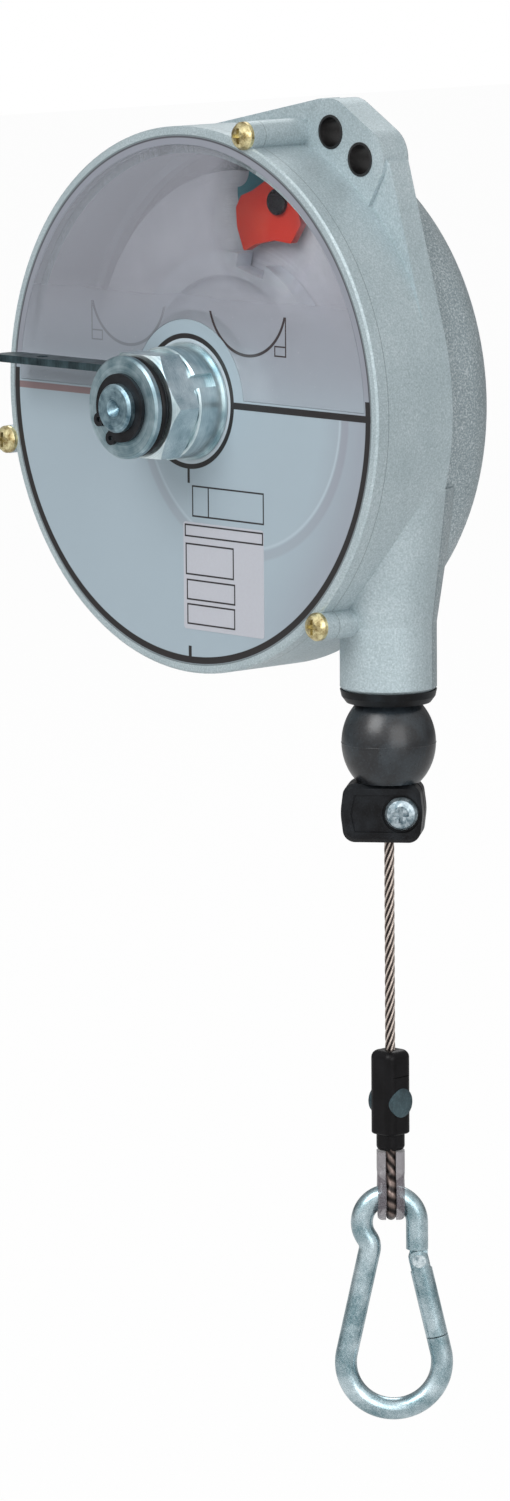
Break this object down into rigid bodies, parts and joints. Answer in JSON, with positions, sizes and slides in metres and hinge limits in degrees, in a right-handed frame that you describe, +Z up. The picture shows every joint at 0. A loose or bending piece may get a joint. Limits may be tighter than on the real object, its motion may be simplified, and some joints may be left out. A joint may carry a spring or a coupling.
{
  "type": "spring tool balancer",
  "caption": "Round spring balancer with a see-through half cover, suspension lug, rope outlet, stop clamp and a snap hook on a wire rope.",
  "frame": {"origin": "centre of the outer suspension bore, half way through the lug", "axes": "+Z up, -Y out of the label and the adjusting nut, +X to the rope side; the drum turns about an axis along Y"},
  "size_m": [0.1648, 0.0915, 0.3879],
  "materials": {
    "cast_body": "fine-textured pale grey-green powder coat",
    "label_plate": "satin printed plate",
    "window": "clear tinted sheet",
    "yellow_zinc": "yellow passivated zinc",
    "bush_liner": "black moulded bush",
    "black_rubber": "matt",
    "bronze": "sintered bronze",
    "cast_disc": "as cast",
    "zinc_plate": "bright zinc plate",
    "spring_steel": "dark spring steel",
    "steel": "machined",
    "drum_metal": "machined casting",
    "wire_rope": "stranded wire",
    "teal_paint": "satin",
    "dark_steel": "blackened",
    "red_paint": "satin",
    "black_casting": "black coat",
    "black_plastic": "fine texture",
    "grey_sleeve": "soft plastic tube",
    "hook_zinc": "bright zinc plate"
  },
  "bodies": {
    "casing": {"casing": "cast_body", "front_cover": "label_plate", "sight_window": "window", "cover_screws": "yellow_zinc", "lug_bushes": "bush_liner", "outlet_bush": "black_rubber", "front_bush": "bronze", "rear_bush": "bronze", "stop_disc": "cast_disc", "stop_disc_rivets": "zinc_plate", "lever_stud": "zinc_plate"},
    "adjuster": {"shaft": "zinc_plate", "rear_washer": "zinc_plate", "rear_circlip": "spring_steel", "hub_washer": "zinc_plate", "ratchet_collar": "zinc_plate", "adjusting_nut": "zinc_plate", "hub_o_ring": "black_rubber", "end_washer": "zinc_plate", "hub_circlip": "spring_steel", "spring_arbor": "steel", "bearing_inner_rings": "steel"},
    "lever": {"release_lever": "dark_steel", "lever_spring": "spring_steel"},
    "drum": {"drum": "drum_metal", "spring_cover": "drum_metal", "spring_cover_screws": "steel", "power_spring": "spring_steel", "bearing_outer_rings": "steel", "bearing_balls": "steel", "wound_rope": "wire_rope", "pawl_plate": "teal_paint", "pawl_pin": "dark_steel"},
    "pawl": {"safety_pawl": "red_paint"},
    "load": {"rope_run": "wire_rope", "rope_core": "wire_rope", "rubber_buffer": "black_rubber", "clamp_front": "black_casting", "clamp_rear": "black_casting", "clamp_screw": "zinc_plate", "clamp_nut": "zinc_plate"},
    "line": {"rope_drop": "wire_rope", "end_clip": "black_plastic", "clip_rivet": "dark_steel", "rope_ferrule": "steel", "rope_eye": "wire_rope", "eye_sleeve": "grey_sleeve"},
    "hook": {"hook_body": "hook_zinc", "gate_pin": "zinc_plate"},
    "gate": {"hook_gate": "hook_zinc"}
  },
  "joints": [
    {"name": "drum_spin", "type": "hinge", "parent": "casing", "child": "drum", "pos_m": [-0.05135, -0.026, -0.07158], "axis": [0, 1, 0], "range_deg": [0, 2520]},
    {"name": "rope_travel", "type": "slide", "parent": "casing", "child": "load", "axis": [0, 0, -1], "range_m": [0, 2.5], "stiffness_N_per_m": 6, "springref_m": -4, "deforming": ["rope_run"]},
    {"name": "tension_adjust", "type": "hinge", "parent": "casing", "child": "adjuster", "pos_m": [-0.05135, -0.026, -0.07158], "axis": [0, 1, 0], "range_deg": [0, 1080]},
    {"name": "lever_press", "type": "hinge", "parent": "casing", "child": "lever", "pos_m": [-0.07195, -0.026, -0.07018], "axis": [0, -1, 0], "range_deg": [-8, 6], "stiffness_Nm_per_rad": 0.05},
    {"name": "safety_pawl", "type": "hinge", "parent": "drum", "child": "pawl", "pos_m": [-0.03055, -0.026, -0.01348], "axis": [0, -1, 0], "range_deg": [0, 22], "stiffness_Nm_per_rad": 0.02, "springref_deg": -11.46},
    {"name": "line_swing", "type": "hinge", "parent": "load", "child": "line", "pos_m": [0.00549, 0, -0.19658], "axis": [0.7431, -0.6691, 0], "range_deg": [-25, 25]},
    {"name": "hook_swing", "type": "hinge", "parent": "line", "child": "hook", "pos_m": [0.00549, 0, -0.30338], "axis": [0.6691, 0.7431, 0], "range_deg": [-45, 45]},
    {"name": "gate_open", "type": "hinge", "parent": "hook", "child": "gate", "pos_m": [0.01091, 0.00602, -0.32258], "axis": [-0.7431, 0.6691, 0], "range_deg": [0, 30], "stiffness_Nm_per_rad": 0.01, "springref_deg": -17.19}
  ],
  "couplings": [
    {"joint": "rope_travel", "follows": "drum_spin", "m_per_rad": 0.05684}
  ]
}
